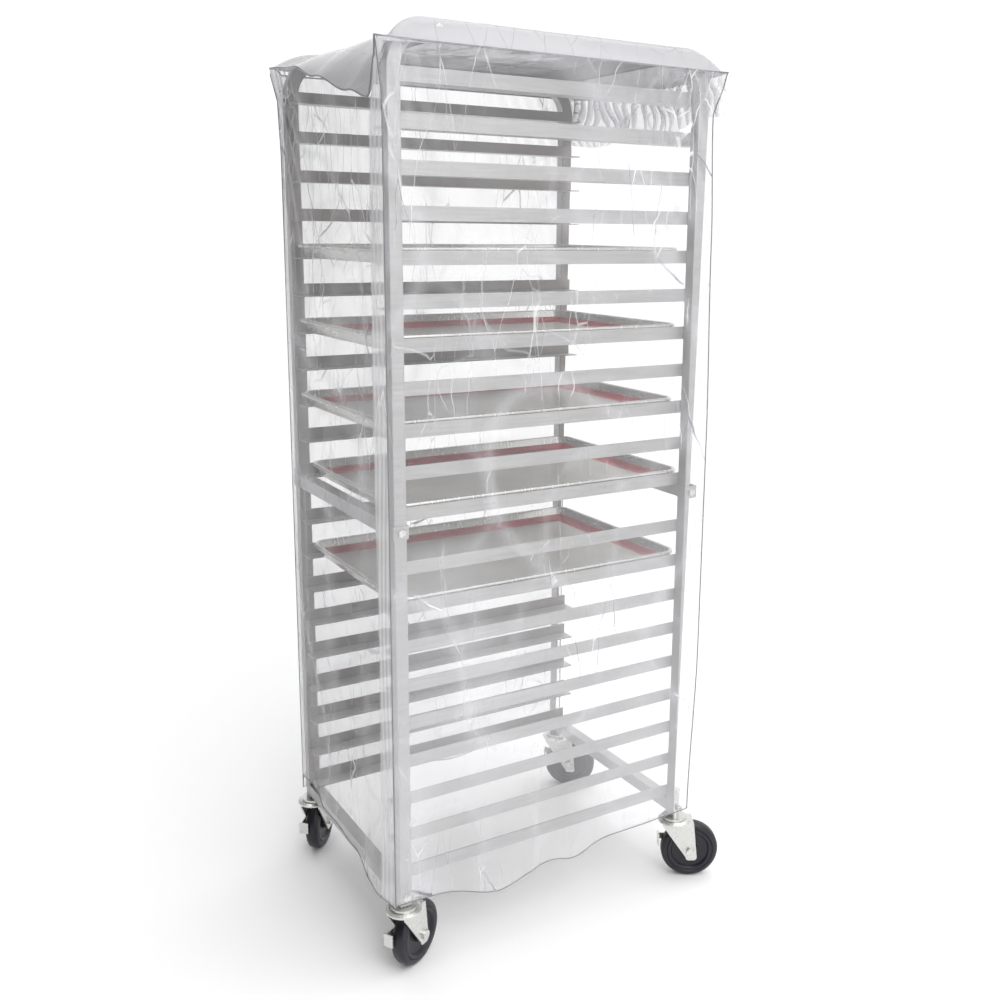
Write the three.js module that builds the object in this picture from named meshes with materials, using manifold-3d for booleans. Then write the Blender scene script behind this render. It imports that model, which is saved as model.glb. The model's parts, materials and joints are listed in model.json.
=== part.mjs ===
// End-load sheet pan rack, knock-down pattern, on swivel casters, under a sewn vinyl dust cover.
// Millimetres, +Z up, X across the width, Y along the runners. The rack is drawn about its own middle
// and then moved so that the origin is on the floor below the middle of the overall box.
import * as THREE from "three";
import { mergeVertices } from "three/addons/utils/BufferGeometryUtils.js";
import Module from "manifold-3d";

// ---- Driving dimensions ----
const WIDTH = 514.35; // over the outer faces of the two side ladders
const DEPTH = 685.8; // over the front and rear posts
const HEIGHT = 1758.95; // floor to the top of the hoops
const TUBE = 25.4; // square tube of the hoops
const TUBE_WALL = 1.6;
const TUBE_EDGE = 2.4; // rounded edge of the square tube
const BEND_RADIUS = 69.85; // hoop corner, to the middle of the tube
const FOOT_Z = 142.9; // lower end of the posts

const TIERS = 20;
const TIERS_ABOVE = 11; // runners above the middle crossbar
const TIER_PITCH = 76.2;
const MIDDLE_PITCH = 101.6; // from the last runner above the middle crossbar to the next one
const TOP_RUNNER_Z = 1660.55; // underside of the top runner
const RUNNER_LEG = 25.4; // upright leg of the runner angle
const LEDGE = 38.1; // shelf leg of the runner angle
const RUNNER_WALL = 2;
const RUNNER_SETBACK = 3; // runner ends stop short of the posts' faces
const WELD = 0.2; // a welded piece sinks this far into its neighbour

const GAP = 0.3; // between pieces that touch
const BAR = 25.4; // crossbar channel, both ways
const BAR_WALL = 2;
const BAR_TAB = 3; // end tab of a crossbar
const TOP_BAR_Y = DEPTH / 2 - BEND_RADIUS - TUBE; // middle of the top crossbars
const POST_Y = (DEPTH - TUBE) / 2; // middle of a post
const TOP_BAR_Z = HEIGHT - TUBE / 2;
const MIDDLE_BAR_Z = TOP_RUNNER_Z - (TIERS_ABOVE - 1) * TIER_PITCH - GAP - BAR / 2;
const BOTTOM_BAR_Z = FOOT_Z + 22.2;

const BOLT_RADIUS = 4;
const BOLT_HOLE_RADIUS = 4.4;
const BOLT_HEAD_RADIUS = 7.6;
const BOLT_HEAD = 5.5;
const NUT = 6.5;
const CLIP_WALL = 2;

const WHEEL_RADIUS = 63.5;
const WHEEL_WIDTH = 31.75;
const HUB_WIDTH = 36;
const HUB_RADIUS = 17;
const TRAIL = 36; // from the swivel axis back to the axle
const FORK_INSIDE = 19; // half of the gap between the fork legs
const FORK_WALL = 3;
const CUP_RADIUS = 35;
const CROWN = { back: 26, front: 42, thickness: 4 }; // top of the fork, each way from the swivel axis
const CUP_Z = [128.5, 137];
const FLANGE_RADIUS = 26;
const FLANGE_Z = [137.4, FOOT_Z - GAP];
const STEM_RADIUS = 10.8;
const STEM_TOP = FOOT_Z + 62;
const KINGPIN_RADIUS = 6;
const KINGPIN_BOTTOM = 121.8;
const AXLE_RADIUS = 6;
const RUNNING_FIT = 0.5; // round a turning shaft, on the radius
const PEDAL_WALL = 2.5;
const PEDAL_REACH = 66.5; // axle to the inner face of the pad
const PEDAL_PAD = { inner: -4, height: 26, middleZ: 77 };

const PAN = { width: 454, length: 654, height: 28, floorWidth: 418, floorLength: 618, wall: 1.2 };
const PAN_CORNER = 30; // corner radius at the rim
const BEAD_RADIUS = 3.2;
const MAT = { width: 404, length: 604, thickness: 1, corner: 12 };

const COVER_HALF_WIDTH = 272; // inner face of the side panels
const COVER_HALF_DEPTH = 358; // inner face of the front panel
const VINYL = 1;
const HEM_Z = 160; // hem at the corners
const HEM_DIP = 86; // pulls the side hems down between them
const HEM_DIP_Y = -160;
const COVER_TOP_Z = HEIGHT + GAP;
const DOOR_ROLL = { depth: 13, drop: 84 }; // rear door gathered up under the top

// Middle of the overall box in plan, seen from the middle of the rack; the trailing casters set it.
const BOX_MIDDLE = [-11.6, 25.3];

// Trail directions of the four casters, seen from above, counterclockwise from +X.
const CASTERS = [
  { name: "front_right", x: 1, y: -1, trail: 120 },
  { name: "rear_right", x: 1, y: 1, trail: 60 },
  { name: "rear_left", x: -1, y: 1, trail: 50 },
  { name: "front_left", x: -1, y: -1, trail: 140 },
];

// Loaded tiers, counted from the top; shift is how far the pan stands towards the rear.
const PANS = [
  { tier: 5, shift: -13, mat: false },
  { tier: 7, shift: -13, mat: true },
  { tier: 9, shift: -15, mat: true },
  { tier: 11, shift: 3, mat: true },
  { tier: 13, shift: 2, mat: true },
];

// ---- Finishes ----
const finish = (color, roughness, metalness) =>
  new THREE.MeshStandardMaterial({ color, roughness, metalness });
const ALUMINIUM = finish(0xc9c7c4, 0.42, 0.9);
const PAN_ALUMINIUM = finish(0xc2c0bc, 0.35, 0.95);
const ZINC = finish(0xd3d2ce, 0.3, 0.9);
const RUBBER = finish(0x17141e, 0.55, 0);
const SILICONE = finish(0xa8201a, 0.6, 0);
const CLEAR_VINYL = finish(0xf2f2f4, 0.15, 0);
CLEAR_VINYL.transparent = true;
CLEAR_VINYL.opacity = 0.25;
const WHITE_VINYL = finish(0xe6e6e8, 0.3, 0);

// ---- Solids ----
const wasm = await Module();
wasm.setup();

function solidFrom(geometry) {
  const bare = geometry.clone();
  bare.deleteAttribute("normal");
  bare.deleteAttribute("uv");
  const merged = mergeVertices(bare, 1e-4);
  const mesh = new wasm.Mesh({
    numProp: 3,
    vertProperties: merged.attributes.position.array,
    triVerts: new Uint32Array(merged.index.array),
  });
  return new wasm.Manifold(mesh);
}

function geometryFrom(solid) {
  const mesh = solid.getMesh();
  const geometry = new THREE.BufferGeometry();
  geometry.setAttribute("position", new THREE.BufferAttribute(mesh.vertProperties, 3));
  geometry.setIndex(new THREE.BufferAttribute(mesh.triVerts, 1));
  geometry.computeVertexNormals();
  return geometry;
}

const join = (first, ...others) => others.reduce((sum, next) => sum.add(next), first);
const cut = (first, ...others) => others.reduce((rest, next) => rest.subtract(next), first);

// A block between two corners, given in any order along each axis.
function block(xs, ys, zs) {
  const size = [xs, ys, zs].map(([a, b]) => Math.abs(b - a));
  const middle = [xs, ys, zs].map(([a, b]) => (a + b) / 2);
  return solidFrom(new THREE.BoxGeometry(...size).translate(...middle));
}

// A round or many-sided bar along X, Y or Z, from one coordinate to another.
function bar(axis, radius, [from, to], [u, v], sides = 16) {
  const geometry = new THREE.CylinderGeometry(radius, radius, Math.abs(to - from), sides);
  const middle = (from + to) / 2;
  if (axis === "x") geometry.rotateZ(Math.PI / 2).translate(middle, u, v);
  else if (axis === "y") geometry.translate(u, middle, v);
  else geometry.rotateX(Math.PI / 2).translate(u, v, middle);
  return solidFrom(geometry);
}

// Takes a shape drawn in (Y, Z) and its thickness to a solid between two X coordinates.
function plateAlongX(shape, [x0, x1], options = {}) {
  const geometry = new THREE.ExtrudeGeometry(shape, {
    depth: x1 - x0,
    bevelEnabled: false,
    curveSegments: 5,
    ...options,
  });
  const [drawnX, drawnY, thickness] = [
    new THREE.Vector3(0, 1, 0),
    new THREE.Vector3(0, 0, 1),
    new THREE.Vector3(1, 0, 0),
  ];
  geometry.applyMatrix4(new THREE.Matrix4().makeBasis(drawnX, drawnY, thickness));
  return solidFrom(geometry.translate(x0, 0, 0));
}

// ---- Side ladders ----
// Outline of the bent hoop seen from the side, drawn inwards by inset.
function hoopOutline(inset, footZ) {
  const outer = DEPTH / 2 - inset;
  const inner = DEPTH / 2 - TUBE + inset;
  const top = HEIGHT - inset;
  const under = HEIGHT - TUBE + inset;
  const outerRadius = BEND_RADIUS + TUBE / 2 - inset;
  const innerRadius = BEND_RADIUS - TUBE / 2 + inset;
  const shape = new THREE.Shape();
  shape.moveTo(outer, footZ);
  shape.absarc(outer - outerRadius, top - outerRadius, outerRadius, 0, Math.PI / 2, false);
  shape.absarc(-outer + outerRadius, top - outerRadius, outerRadius, Math.PI / 2, Math.PI, false);
  shape.lineTo(-outer, footZ);
  shape.lineTo(-inner, footZ);
  shape.absarc(-inner + innerRadius, under - innerRadius, innerRadius, Math.PI, Math.PI / 2, true);
  shape.absarc(inner - innerRadius, under - innerRadius, innerRadius, Math.PI / 2, 0, true);
  shape.lineTo(inner, footZ);
  shape.closePath();
  return shape;
}

const runnerZ = (tier) =>
  TOP_RUNNER_Z - (tier - 1) * TIER_PITCH - (tier > TIERS_ABOVE ? MIDDLE_PITCH - TIER_PITCH : 0);

// One welded side: the hoop with its runners on the inner face; side is -1 left, +1 right.
function ladder(side) {
  const outerFace = (side * WIDTH) / 2;
  const innerFace = side * (WIDTH / 2 - TUBE);
  const xs = [Math.min(outerFace, innerFace), Math.max(outerFace, innerFace)];
  const skin = plateAlongX(hoopOutline(0, FOOT_Z), [xs[0] + TUBE_EDGE, xs[1] - TUBE_EDGE], {
    bevelEnabled: true,
    bevelThickness: TUBE_EDGE,
    bevelSize: TUBE_EDGE,
    bevelOffset: -TUBE_EDGE,
    bevelSegments: 2,
  });
  const bore = [xs[0] + TUBE_WALL, xs[1] - TUBE_WALL];
  const hollow = plateAlongX(hoopOutline(TUBE_WALL, FOOT_Z - 5), bore);
  const holes = [];
  for (const end of [-1, 1]) {
    for (const [y, z] of [
      [end * TOP_BAR_Y, TOP_BAR_Z],
      [end * POST_Y, MIDDLE_BAR_Z],
      [end * POST_Y, BOTTOM_BAR_Z],
    ])
      holes.push(bar("x", BOLT_HOLE_RADIUS, [xs[0] - 1, xs[1] + 1], [y, z]));
  }
  const hoop = cut(skin, hollow, ...holes);
  const ends = [-DEPTH / 2 + RUNNER_SETBACK, DEPTH / 2 - RUNNER_SETBACK];
  const runners = [];
  for (let tier = 1; tier <= TIERS; tier += 1) {
    const z = runnerZ(tier);
    const back = innerFace + side * WELD;
    const leg = block([back, innerFace - side * RUNNER_WALL], ends, [z, z + RUNNER_LEG]);
    const ledge = block([back, innerFace - side * LEDGE], ends, [z, z + RUNNER_WALL]);
    runners.push(join(leg, ledge));
  }
  return join(hoop, ...runners);
}

// ---- Crossbars, clips and bolts ----
// A channel, open below, with a drilled tab closing each end.
function crossbar(y, z) {
  const end = WIDTH / 2 - TUBE - GAP;
  const outside = block([-end, end], [y - BAR / 2, y + BAR / 2], [z - BAR / 2, z + BAR / 2]);
  const inside = block(
    [-end + BAR_TAB, end - BAR_TAB],
    [y - BAR / 2 + BAR_WALL, y + BAR / 2 - BAR_WALL],
    [z - BAR / 2 - 1, z + BAR / 2 - BAR_WALL],
  );
  return cut(outside, inside, bar("x", BOLT_HOLE_RADIUS, [-end - 1, end + 1], [y, z]));
}

// A saddle clip round the outside of a post, at the middle crossbar.
function saddleClip(side, end) {
  const face = WIDTH / 2 + GAP;
  const half = TUBE / 2 + GAP + CLIP_WALL;
  const zs = [MIDDLE_BAR_Z - BAR / 2, MIDDLE_BAR_Z + BAR / 2];
  const y = end * POST_Y;
  const body = block([side * (face - TUBE), side * (face + CLIP_WALL)], [y - half, y + half], zs);
  const post = block(
    [side * (face - TUBE - 1), side * face],
    [y - half + CLIP_WALL, y + half - CLIP_WALL],
    [zs[0] - 1, zs[1] + 1],
  );
  const through = [side * (face - 1), side * (face + CLIP_WALL + 1)];
  const hole = bar("x", BOLT_HOLE_RADIUS, through, [y, MIDDLE_BAR_Z]);
  return cut(body, post, hole);
}

// A hexagon bolt from the outer face through to the nut behind the crossbar's tab.
function bolt(side, y, z, packing) {
  const face = WIDTH / 2 + GAP + packing;
  const nutFace = WIDTH / 2 - TUBE - GAP - BAR_TAB - GAP;
  return join(
    bar("x", BOLT_HEAD_RADIUS, [side * face, side * (face + BOLT_HEAD)], [y, z], 6),
    bar("x", BOLT_RADIUS, [side * (nutFace - NUT - 3), side * (face + 1)], [y, z]),
    bar("x", BOLT_HEAD_RADIUS, [side * (nutFace - NUT), side * nutFace], [y, z], 6),
  );
}

// ---- Casters: drawn with the swivel axis on Z and the wheel trailing along +X ----
function casterStem() {
  return join(
    bar("z", STEM_RADIUS, [FLANGE_Z[0], STEM_TOP], [0, 0], 24),
    bar("z", FLANGE_RADIUS, FLANGE_Z, [0, 0], 32),
    bar("z", KINGPIN_RADIUS, [KINGPIN_BOTTOM, FLANGE_Z[1]], [0, 0], 20),
  );
}

// Side view of the fork in (X, Z): wide under the cup, narrowing to the axle.
function forkOutline() {
  const [back, front] = [-CROWN.back, CROWN.front];
  const low = CUP_Z[0];
  const shape = new THREE.Shape();
  shape.moveTo(back, low + CROWN.thickness);
  shape.lineTo(back, low - 4);
  shape.lineTo(TRAIL - 11, WHEEL_RADIUS - 12);
  shape.absarc(TRAIL - 3, WHEEL_RADIUS - 14, 7, Math.PI, 1.5 * Math.PI, false);
  shape.absarc(TRAIL + 8, WHEEL_RADIUS - 14, 7, 1.5 * Math.PI, 2 * Math.PI, false);
  shape.lineTo(front, low + CROWN.thickness);
  shape.closePath();
  return shape;
}

function fork() {
  const half = FORK_INSIDE + FORK_WALL;
  const geometry = new THREE.ExtrudeGeometry(forkOutline(), {
    depth: 2 * half,
    bevelEnabled: false,
    curveSegments: 3,
  });
  const solid = solidFrom(geometry.rotateX(Math.PI / 2).translate(0, half, 0));
  const [low, high] = CUP_Z;
  const cupBase = low + CROWN.thickness / 2;
  const profile = [
    [0, cupBase],
    [CUP_RADIUS, cupBase],
    [CUP_RADIUS, high - 3],
    [FLANGE_RADIUS + 3, high],
    [0, high],
  ].map(([r, z]) => new THREE.Vector2(r, z));
  const cup = solidFrom(new THREE.LatheGeometry(profile, 32).rotateX(Math.PI / 2));
  const wheelGap = block([-CROWN.back - 5, CROWN.front + 40], [-FORK_INSIDE, FORK_INSIDE], [0, low]);
  const pinHole = bar("z", KINGPIN_RADIUS + RUNNING_FIT, [low - 5, high + 5], [0, 0], 20);
  const axleHole = bar("y", AXLE_RADIUS + RUNNING_FIT, [-half - 5, half + 5], [TRAIL, WHEEL_RADIUS], 20);
  return cut(join(solid, cup), wheelGap, pinHole, axleHole);
}

// A moulded wheel turned about its axle, with a recessed web and a raised ring on each face.
function wheel() {
  const bore = AXLE_RADIUS + RUNNING_FIT;
  const half = WHEEL_WIDTH / 2;
  const oneSide = [
    [bore, HUB_WIDTH / 2],
    [HUB_RADIUS, HUB_WIDTH / 2],
    [HUB_RADIUS + 2, half - 5],
    [44, half - 4],
    [47, half],
    [51, half],
    [58, half - 0.8],
    [WHEEL_RADIUS, half - 5],
  ];
  const otherSide = oneSide.map(([r, y]) => [r, -y]).reverse();
  const profile = [...oneSide, ...otherSide, oneSide[0]].map(([r, y]) => new THREE.Vector2(r, -y));
  return new THREE.LatheGeometry(profile, 40);
}

function axle() {
  const outside = FORK_INSIDE + FORK_WALL + GAP;
  const nutFace = outside + PEDAL_WALL + GAP;
  const at = [TRAIL, WHEEL_RADIUS];
  return join(
    bar("y", 9.5, [-outside - 6, -outside], at, 20),
    bar("y", AXLE_RADIUS, [-outside - 1, nutFace + 9], at, 20),
    bar("y", 10, [nutFace, nutFace + 7], at, 6),
  );
}

// Brake lever: a ring on the axle, an arm forward past the tread and a pad across it.
function brakePedal() {
  const [inner, outer] = [FORK_INSIDE + FORK_WALL + GAP, FORK_INSIDE + FORK_WALL + GAP + PEDAL_WALL];
  const padX = TRAIL - PEDAL_REACH;
  const { height, middleZ } = PEDAL_PAD;
  const ring = bar("y", 13, [inner, outer], [TRAIL, WHEEL_RADIUS], 24);
  const arm = block([padX - PEDAL_WALL, TRAIL], [inner, outer], [middleZ - 6, middleZ + 8]);
  const pad = block(
    [padX - PEDAL_WALL, padX],
    [-PEDAL_PAD.inner, outer],
    [middleZ - height / 2, middleZ + height / 2],
  );
  const hole = bar("y", AXLE_RADIUS + RUNNING_FIT, [inner - 1, outer + 1], [TRAIL, WHEEL_RADIUS], 20);
  return cut(join(ring, arm, pad), hole);
}

// ---- Pans and mats ----
// Points round a rectangle with rounded corners, at height z.
function roundedRing(width, length, radius, z) {
  const steps = 4;
  const corners = [
    [1, 1],
    [-1, 1],
    [-1, -1],
    [1, -1],
  ];
  return corners.flatMap(([sx, sy], corner) =>
    Array.from({ length: steps + 1 }, (_, step) => {
      const angle = ((corner + step / steps) * Math.PI) / 2;
      const x = sx * (width / 2 - radius) + radius * Math.cos(angle);
      const y = sy * (length / 2 - radius) + radius * Math.sin(angle);
      return new THREE.Vector3(x, y, z);
    }),
  );
}

// Skins a closed stack of rings of equal point count, capped at the first and the last one.
function loft(rings) {
  const count = rings[0].length;
  const positions = rings.flat().flatMap((point) => point.toArray());
  const faces = [];
  for (let ring = 0; ring < rings.length - 1; ring += 1) {
    for (let i = 0; i < count; i += 1) {
      const next = (i + 1) % count;
      const [a, b] = [ring * count + i, ring * count + next];
      faces.push(a, b, b + count, a, b + count, a + count);
    }
  }
  const last = (rings.length - 1) * count;
  for (let i = 1; i < count - 1; i += 1) faces.push(0, i + 1, i, last, last + i, last + i + 1);
  const geometry = new THREE.BufferGeometry();
  geometry.setAttribute("position", new THREE.BufferAttribute(new Float32Array(positions), 3));
  geometry.setIndex(faces);
  geometry.computeVertexNormals();
  return geometry;
}

// A pressed pan with sloped walls and a rolled bead, standing on z = 0.
function pan() {
  const { width, length, height, floorWidth, floorLength, wall } = PAN;
  const beadZ = height - BEAD_RADIUS;
  const mouthWidth = width - 4 * BEAD_RADIUS;
  const mouthLength = length - 4 * BEAD_RADIUS;
  const bead = (inset, z) => roundedRing(width - 2 * inset, length - 2 * inset, PAN_CORNER - inset, z);
  return loft([
    roundedRing(floorWidth - 4, floorLength - 4, PAN_CORNER - 8, 0),
    roundedRing(floorWidth, floorLength, PAN_CORNER - 6, 1),
    roundedRing(mouthWidth, mouthLength, PAN_CORNER - 2 * BEAD_RADIUS, beadZ - BEAD_RADIUS),
    bead(BEAD_RADIUS, beadZ - BEAD_RADIUS),
    bead(0, beadZ),
    bead(BEAD_RADIUS, height),
    bead(2 * BEAD_RADIUS + wall / 2, beadZ),
    roundedRing(floorWidth - 2 * wall, floorLength - 2 * wall, PAN_CORNER - 6 - wall, wall),
  ]);
}

function mat() {
  const { width, length, thickness, corner } = MAT;
  return loft([roundedRing(width, length, corner, 0), roundedRing(width, length, corner, thickness)]);
}

// ---- Cover ----
// A side panel in (Y, Z), straight at the corners and dipping between them.
function sidePanelOutline() {
  const half = COVER_HALF_DEPTH + VINYL;
  const shape = new THREE.Shape();
  shape.moveTo(half, COVER_TOP_Z - GAP);
  shape.lineTo(-half, COVER_TOP_Z - GAP);
  shape.lineTo(-half, HEM_Z);
  shape.quadraticCurveTo(HEM_DIP_Y, HEM_DIP, half, HEM_Z);
  shape.closePath();
  return shape;
}

function coverPanels() {
  const panelTop = COVER_TOP_Z - GAP;
  const inner = COVER_HALF_WIDTH;
  const outer = COVER_HALF_WIDTH + VINYL;
  const halfDepth = COVER_HALF_DEPTH + VINYL;
  const rear = DEPTH / 2 + 2;
  return {
    cover_top: block([-outer, outer], [-halfDepth, halfDepth], [COVER_TOP_Z, COVER_TOP_Z + VINYL]),
    cover_front: block(
      [-inner + GAP, inner - GAP],
      [-halfDepth, -COVER_HALF_DEPTH],
      [HEM_Z, panelTop],
    ),
    cover_side_left: plateAlongX(sidePanelOutline(), [-outer, -inner]),
    cover_side_right: plateAlongX(sidePanelOutline(), [inner, outer]),
    cover_door_gathered: block(
      [-inner + GAP, inner - GAP],
      [rear, rear + DOOR_ROLL.depth],
      [panelTop - DOOR_ROLL.drop, panelTop],
    ),
  };
}

// ---- Assembly ----
const rack = new THREE.Group();

function place(name, geometry, material, parent = rack) {
  const mesh = new THREE.Mesh(geometry, material);
  mesh.name = name;
  parent.add(mesh);
  return mesh;
}

const SIDES = [
  ["left", -1],
  ["right", 1],
];
const ENDS = [
  ["front", -1],
  ["rear", 1],
];
const LEVELS = [
  ["top", TOP_BAR_Y, TOP_BAR_Z, 0],
  ["middle", POST_Y, MIDDLE_BAR_Z, CLIP_WALL + GAP],
  ["bottom", POST_Y, BOTTOM_BAR_Z, 0],
];

for (const [side, sign] of SIDES) place(`ladder_${side}`, geometryFrom(ladder(sign)), ALUMINIUM);

for (const [level, y, z, packing] of LEVELS) {
  for (const [end, towards] of ENDS) {
    place(`crossbar_${level}_${end}`, geometryFrom(crossbar(towards * y, z)), ALUMINIUM);
    for (const [side, sign] of SIDES) {
      const fastener = bolt(sign, towards * y, z, packing);
      place(`bolt_${level}_${end}_${side}`, geometryFrom(fastener), ZINC);
    }
  }
}

for (const [end, towards] of ENDS)
  for (const [side, sign] of SIDES)
    place(`saddle_clip_${end}_${side}`, geometryFrom(saddleClip(sign, towards)), ALUMINIUM);

for (const { name, x, y, trail } of CASTERS) {
  const at = [(x * (WIDTH - TUBE)) / 2, y * POST_Y, 0];
  const boltHole = bar("x", BOLT_HOLE_RADIUS, [-30, 30], [0, BOTTOM_BAR_Z]);
  const stem = place(`caster_stem_${name}`, geometryFrom(cut(casterStem(), boltHole)), ZINC);
  stem.position.set(...at);
  const caster = new THREE.Group();
  caster.position.set(...at);
  caster.rotation.z = THREE.MathUtils.degToRad(trail);
  place(`caster_fork_${name}`, geometryFrom(fork()), ZINC, caster);
  place(`caster_axle_${name}`, geometryFrom(axle()), ZINC, caster);
  place(`caster_brake_${name}`, geometryFrom(brakePedal()), ZINC, caster);
  const disc = place(`caster_wheel_${name}`, wheel(), RUBBER, caster);
  disc.position.set(TRAIL, 0, WHEEL_RADIUS);
  rack.add(caster);
}

for (const { tier, shift, mat: lined } of PANS) {
  const z = runnerZ(tier) + RUNNER_WALL + GAP;
  place(`sheet_pan_${tier}`, pan(), PAN_ALUMINIUM).position.set(0, shift, z);
  if (lined) place(`baking_mat_${tier}`, mat(), SILICONE).position.set(0, shift, z + PAN.wall + GAP);
}

for (const [name, panel] of Object.entries(coverPanels()))
  place(name, geometryFrom(panel), name === "cover_top" ? WHITE_VINYL : CLEAR_VINYL);

rack.position.set(-BOX_MIDDLE[0], -BOX_MIDDLE[1], 0);

export default rack;
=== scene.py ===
"""Sheet pan rack under a clear vinyl cover: finishes, pans, mats, casters, cover and studio."""

import json
import math

import bmesh
import bpy
from mathutils import Matrix, Vector, noise


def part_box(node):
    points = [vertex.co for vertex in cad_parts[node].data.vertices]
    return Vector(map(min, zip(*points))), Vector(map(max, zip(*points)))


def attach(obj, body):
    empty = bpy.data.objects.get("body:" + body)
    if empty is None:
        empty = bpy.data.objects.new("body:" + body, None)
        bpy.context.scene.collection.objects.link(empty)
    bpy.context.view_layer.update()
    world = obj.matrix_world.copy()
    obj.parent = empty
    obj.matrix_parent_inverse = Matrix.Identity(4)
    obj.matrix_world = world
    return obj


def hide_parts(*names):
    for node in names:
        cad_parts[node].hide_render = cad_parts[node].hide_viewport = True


bl_info = {
    "name": "Sheet Pan Rack",
    "version": (1, 0, 0),
    "blender": (4, 5, 0),
    "location": "View3D > Sidebar > Rack",
    "description": "Builds a covered sheet pan rack round its packed frame",
    "category": "Object",
}

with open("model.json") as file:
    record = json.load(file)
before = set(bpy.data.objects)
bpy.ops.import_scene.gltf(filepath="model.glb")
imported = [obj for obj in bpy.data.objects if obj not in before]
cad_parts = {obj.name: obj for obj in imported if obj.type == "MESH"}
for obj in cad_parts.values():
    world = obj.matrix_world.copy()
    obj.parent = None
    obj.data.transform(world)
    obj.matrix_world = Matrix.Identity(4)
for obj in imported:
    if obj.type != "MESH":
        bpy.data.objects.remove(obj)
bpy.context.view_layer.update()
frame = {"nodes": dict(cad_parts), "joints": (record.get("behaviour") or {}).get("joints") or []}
NODES = frame["nodes"]

CASTERS = ("front_right", "rear_right", "rear_left", "front_left")
PAN_TIERS = (5, 7, 9, 11, 13)
LINED_TIERS = (7, 9, 11, 13)
LADDERS = ("ladder_left", "ladder_right")


# ---- Where things are, from the frame ----
def span(*names):
    """Lowest and highest corner round several CAD nodes."""
    boxes = [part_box(name) for name in names]
    low = Vector([min(box[0][axis] for box in boxes) for axis in range(3)])
    high = Vector([max(box[1][axis] for box in boxes) for axis in range(3)])
    return low, high


def joint(name):
    return next(entry for entry in frame["joints"] if entry["name"] == name)


RACK_LOW, RACK_HIGH = span(*LADDERS)
MIDDLE = Vector(((RACK_LOW.x + RACK_HIGH.x) / 2, (RACK_LOW.y + RACK_HIGH.y) / 2, 0))
HALF_Y = (RACK_HIGH.y - RACK_LOW.y) / 2
TOP_Z = RACK_HIGH.z
BOLT_LOW, BOLT_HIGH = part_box("bolt_middle_rear_right")
BOLT_Y = (BOLT_LOW.y + BOLT_HIGH.y) / 2 - MIDDLE.y
BOLT_Z = (BOLT_LOW.z + BOLT_HIGH.z) / 2


# ---- Small tools ----
def linear(hex_colour):
    """An sRGB hex colour as the linear values that shaders take."""
    channels = [int(hex_colour[i : i + 2], 16) / 255 for i in (1, 3, 5)]
    return [c / 12.92 if c <= 0.04045 else ((c + 0.055) / 1.055) ** 2.4 for c in channels] + [1.0]


def smoothstep(low, high, value):
    t = min(max((value - low) / (high - low), 0.0), 1.0)
    return t * t * (3 - 2 * t)


def through(points, value):
    """Smooth curve through (value, result) pairs, held level past both ends."""
    if value <= points[0][0]:
        return points[0][1]
    for (a, start), (b, end) in zip(points, points[1:]):
        if value <= b:
            return start + (end - start) * smoothstep(a, b, value)
    return points[-1][1]


def bump(value, middle, width):
    return math.exp(-(((value - middle) / width) ** 2))


def piece(name, bm, material, body, smooth):
    """Turns a finished bmesh into an object at the origin that rides on a CAD body."""
    bmesh.ops.remove_doubles(bm, verts=bm.verts, dist=1e-6)
    bmesh.ops.recalc_face_normals(bm, faces=bm.faces)
    mesh = bpy.data.meshes.new(name)
    bm.to_mesh(mesh)
    bm.free()
    mesh.polygons.foreach_set("use_smooth", [True] * len(mesh.polygons))
    mesh.set_sharp_from_angle(angle=math.radians(smooth))
    mesh.materials.append(material)
    obj = bpy.data.objects.new(name, mesh)
    bpy.context.scene.collection.objects.link(obj)
    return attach(obj, body)


def thicken(obj, thickness, offset=0.0):
    solid = obj.modifiers.new("thickness", "SOLIDIFY")
    solid.thickness = thickness
    solid.offset = offset


def add_node(tree, kind, settings=None, values=None, links=None):
    """Adds a shader node with its settings, its socket values and the links into it."""
    new = tree.nodes.new(kind)
    for key, value in (settings or {}).items():
        setattr(new, key, value)
    for key, value in (values or {}).items():
        new.inputs[key].default_value = value
    for key, source in (links or {}).items():
        node, socket = source if isinstance(source, tuple) else (source, 0)
        tree.links.new(node.outputs[socket], new.inputs[key])
    return new


def start_material(name):
    """An empty node material with its Principled shader and its Object coordinates."""
    material = bpy.data.materials.get(name) or bpy.data.materials.new(name)
    material.use_nodes = True
    tree = material.node_tree
    tree.nodes.clear()
    shader = add_node(tree, "ShaderNodeBsdfPrincipled")
    add_node(tree, "ShaderNodeOutputMaterial", links={"Surface": shader})
    place = add_node(tree, "ShaderNodeTexCoord")
    return material, tree, shader, (place, "Object")


def ramp(tree, source, stops):
    """A colour ramp through (position, hex colour) stops."""
    node = add_node(tree, "ShaderNodeValToRGB", links={"Fac": source})
    elements = node.color_ramp.elements
    while len(elements) < len(stops):
        elements.new(0.5)
    for element, (position, colour) in zip(elements, stops):
        element.position = position
        element.color = linear(colour)
    return node


def scaled(tree, source, scale, turn=(0.0, 0.0, 0.0)):
    return add_node(
        tree, "ShaderNodeMapping", values={"Scale": scale, "Rotation": turn}, links={"Vector": source}
    )


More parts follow.
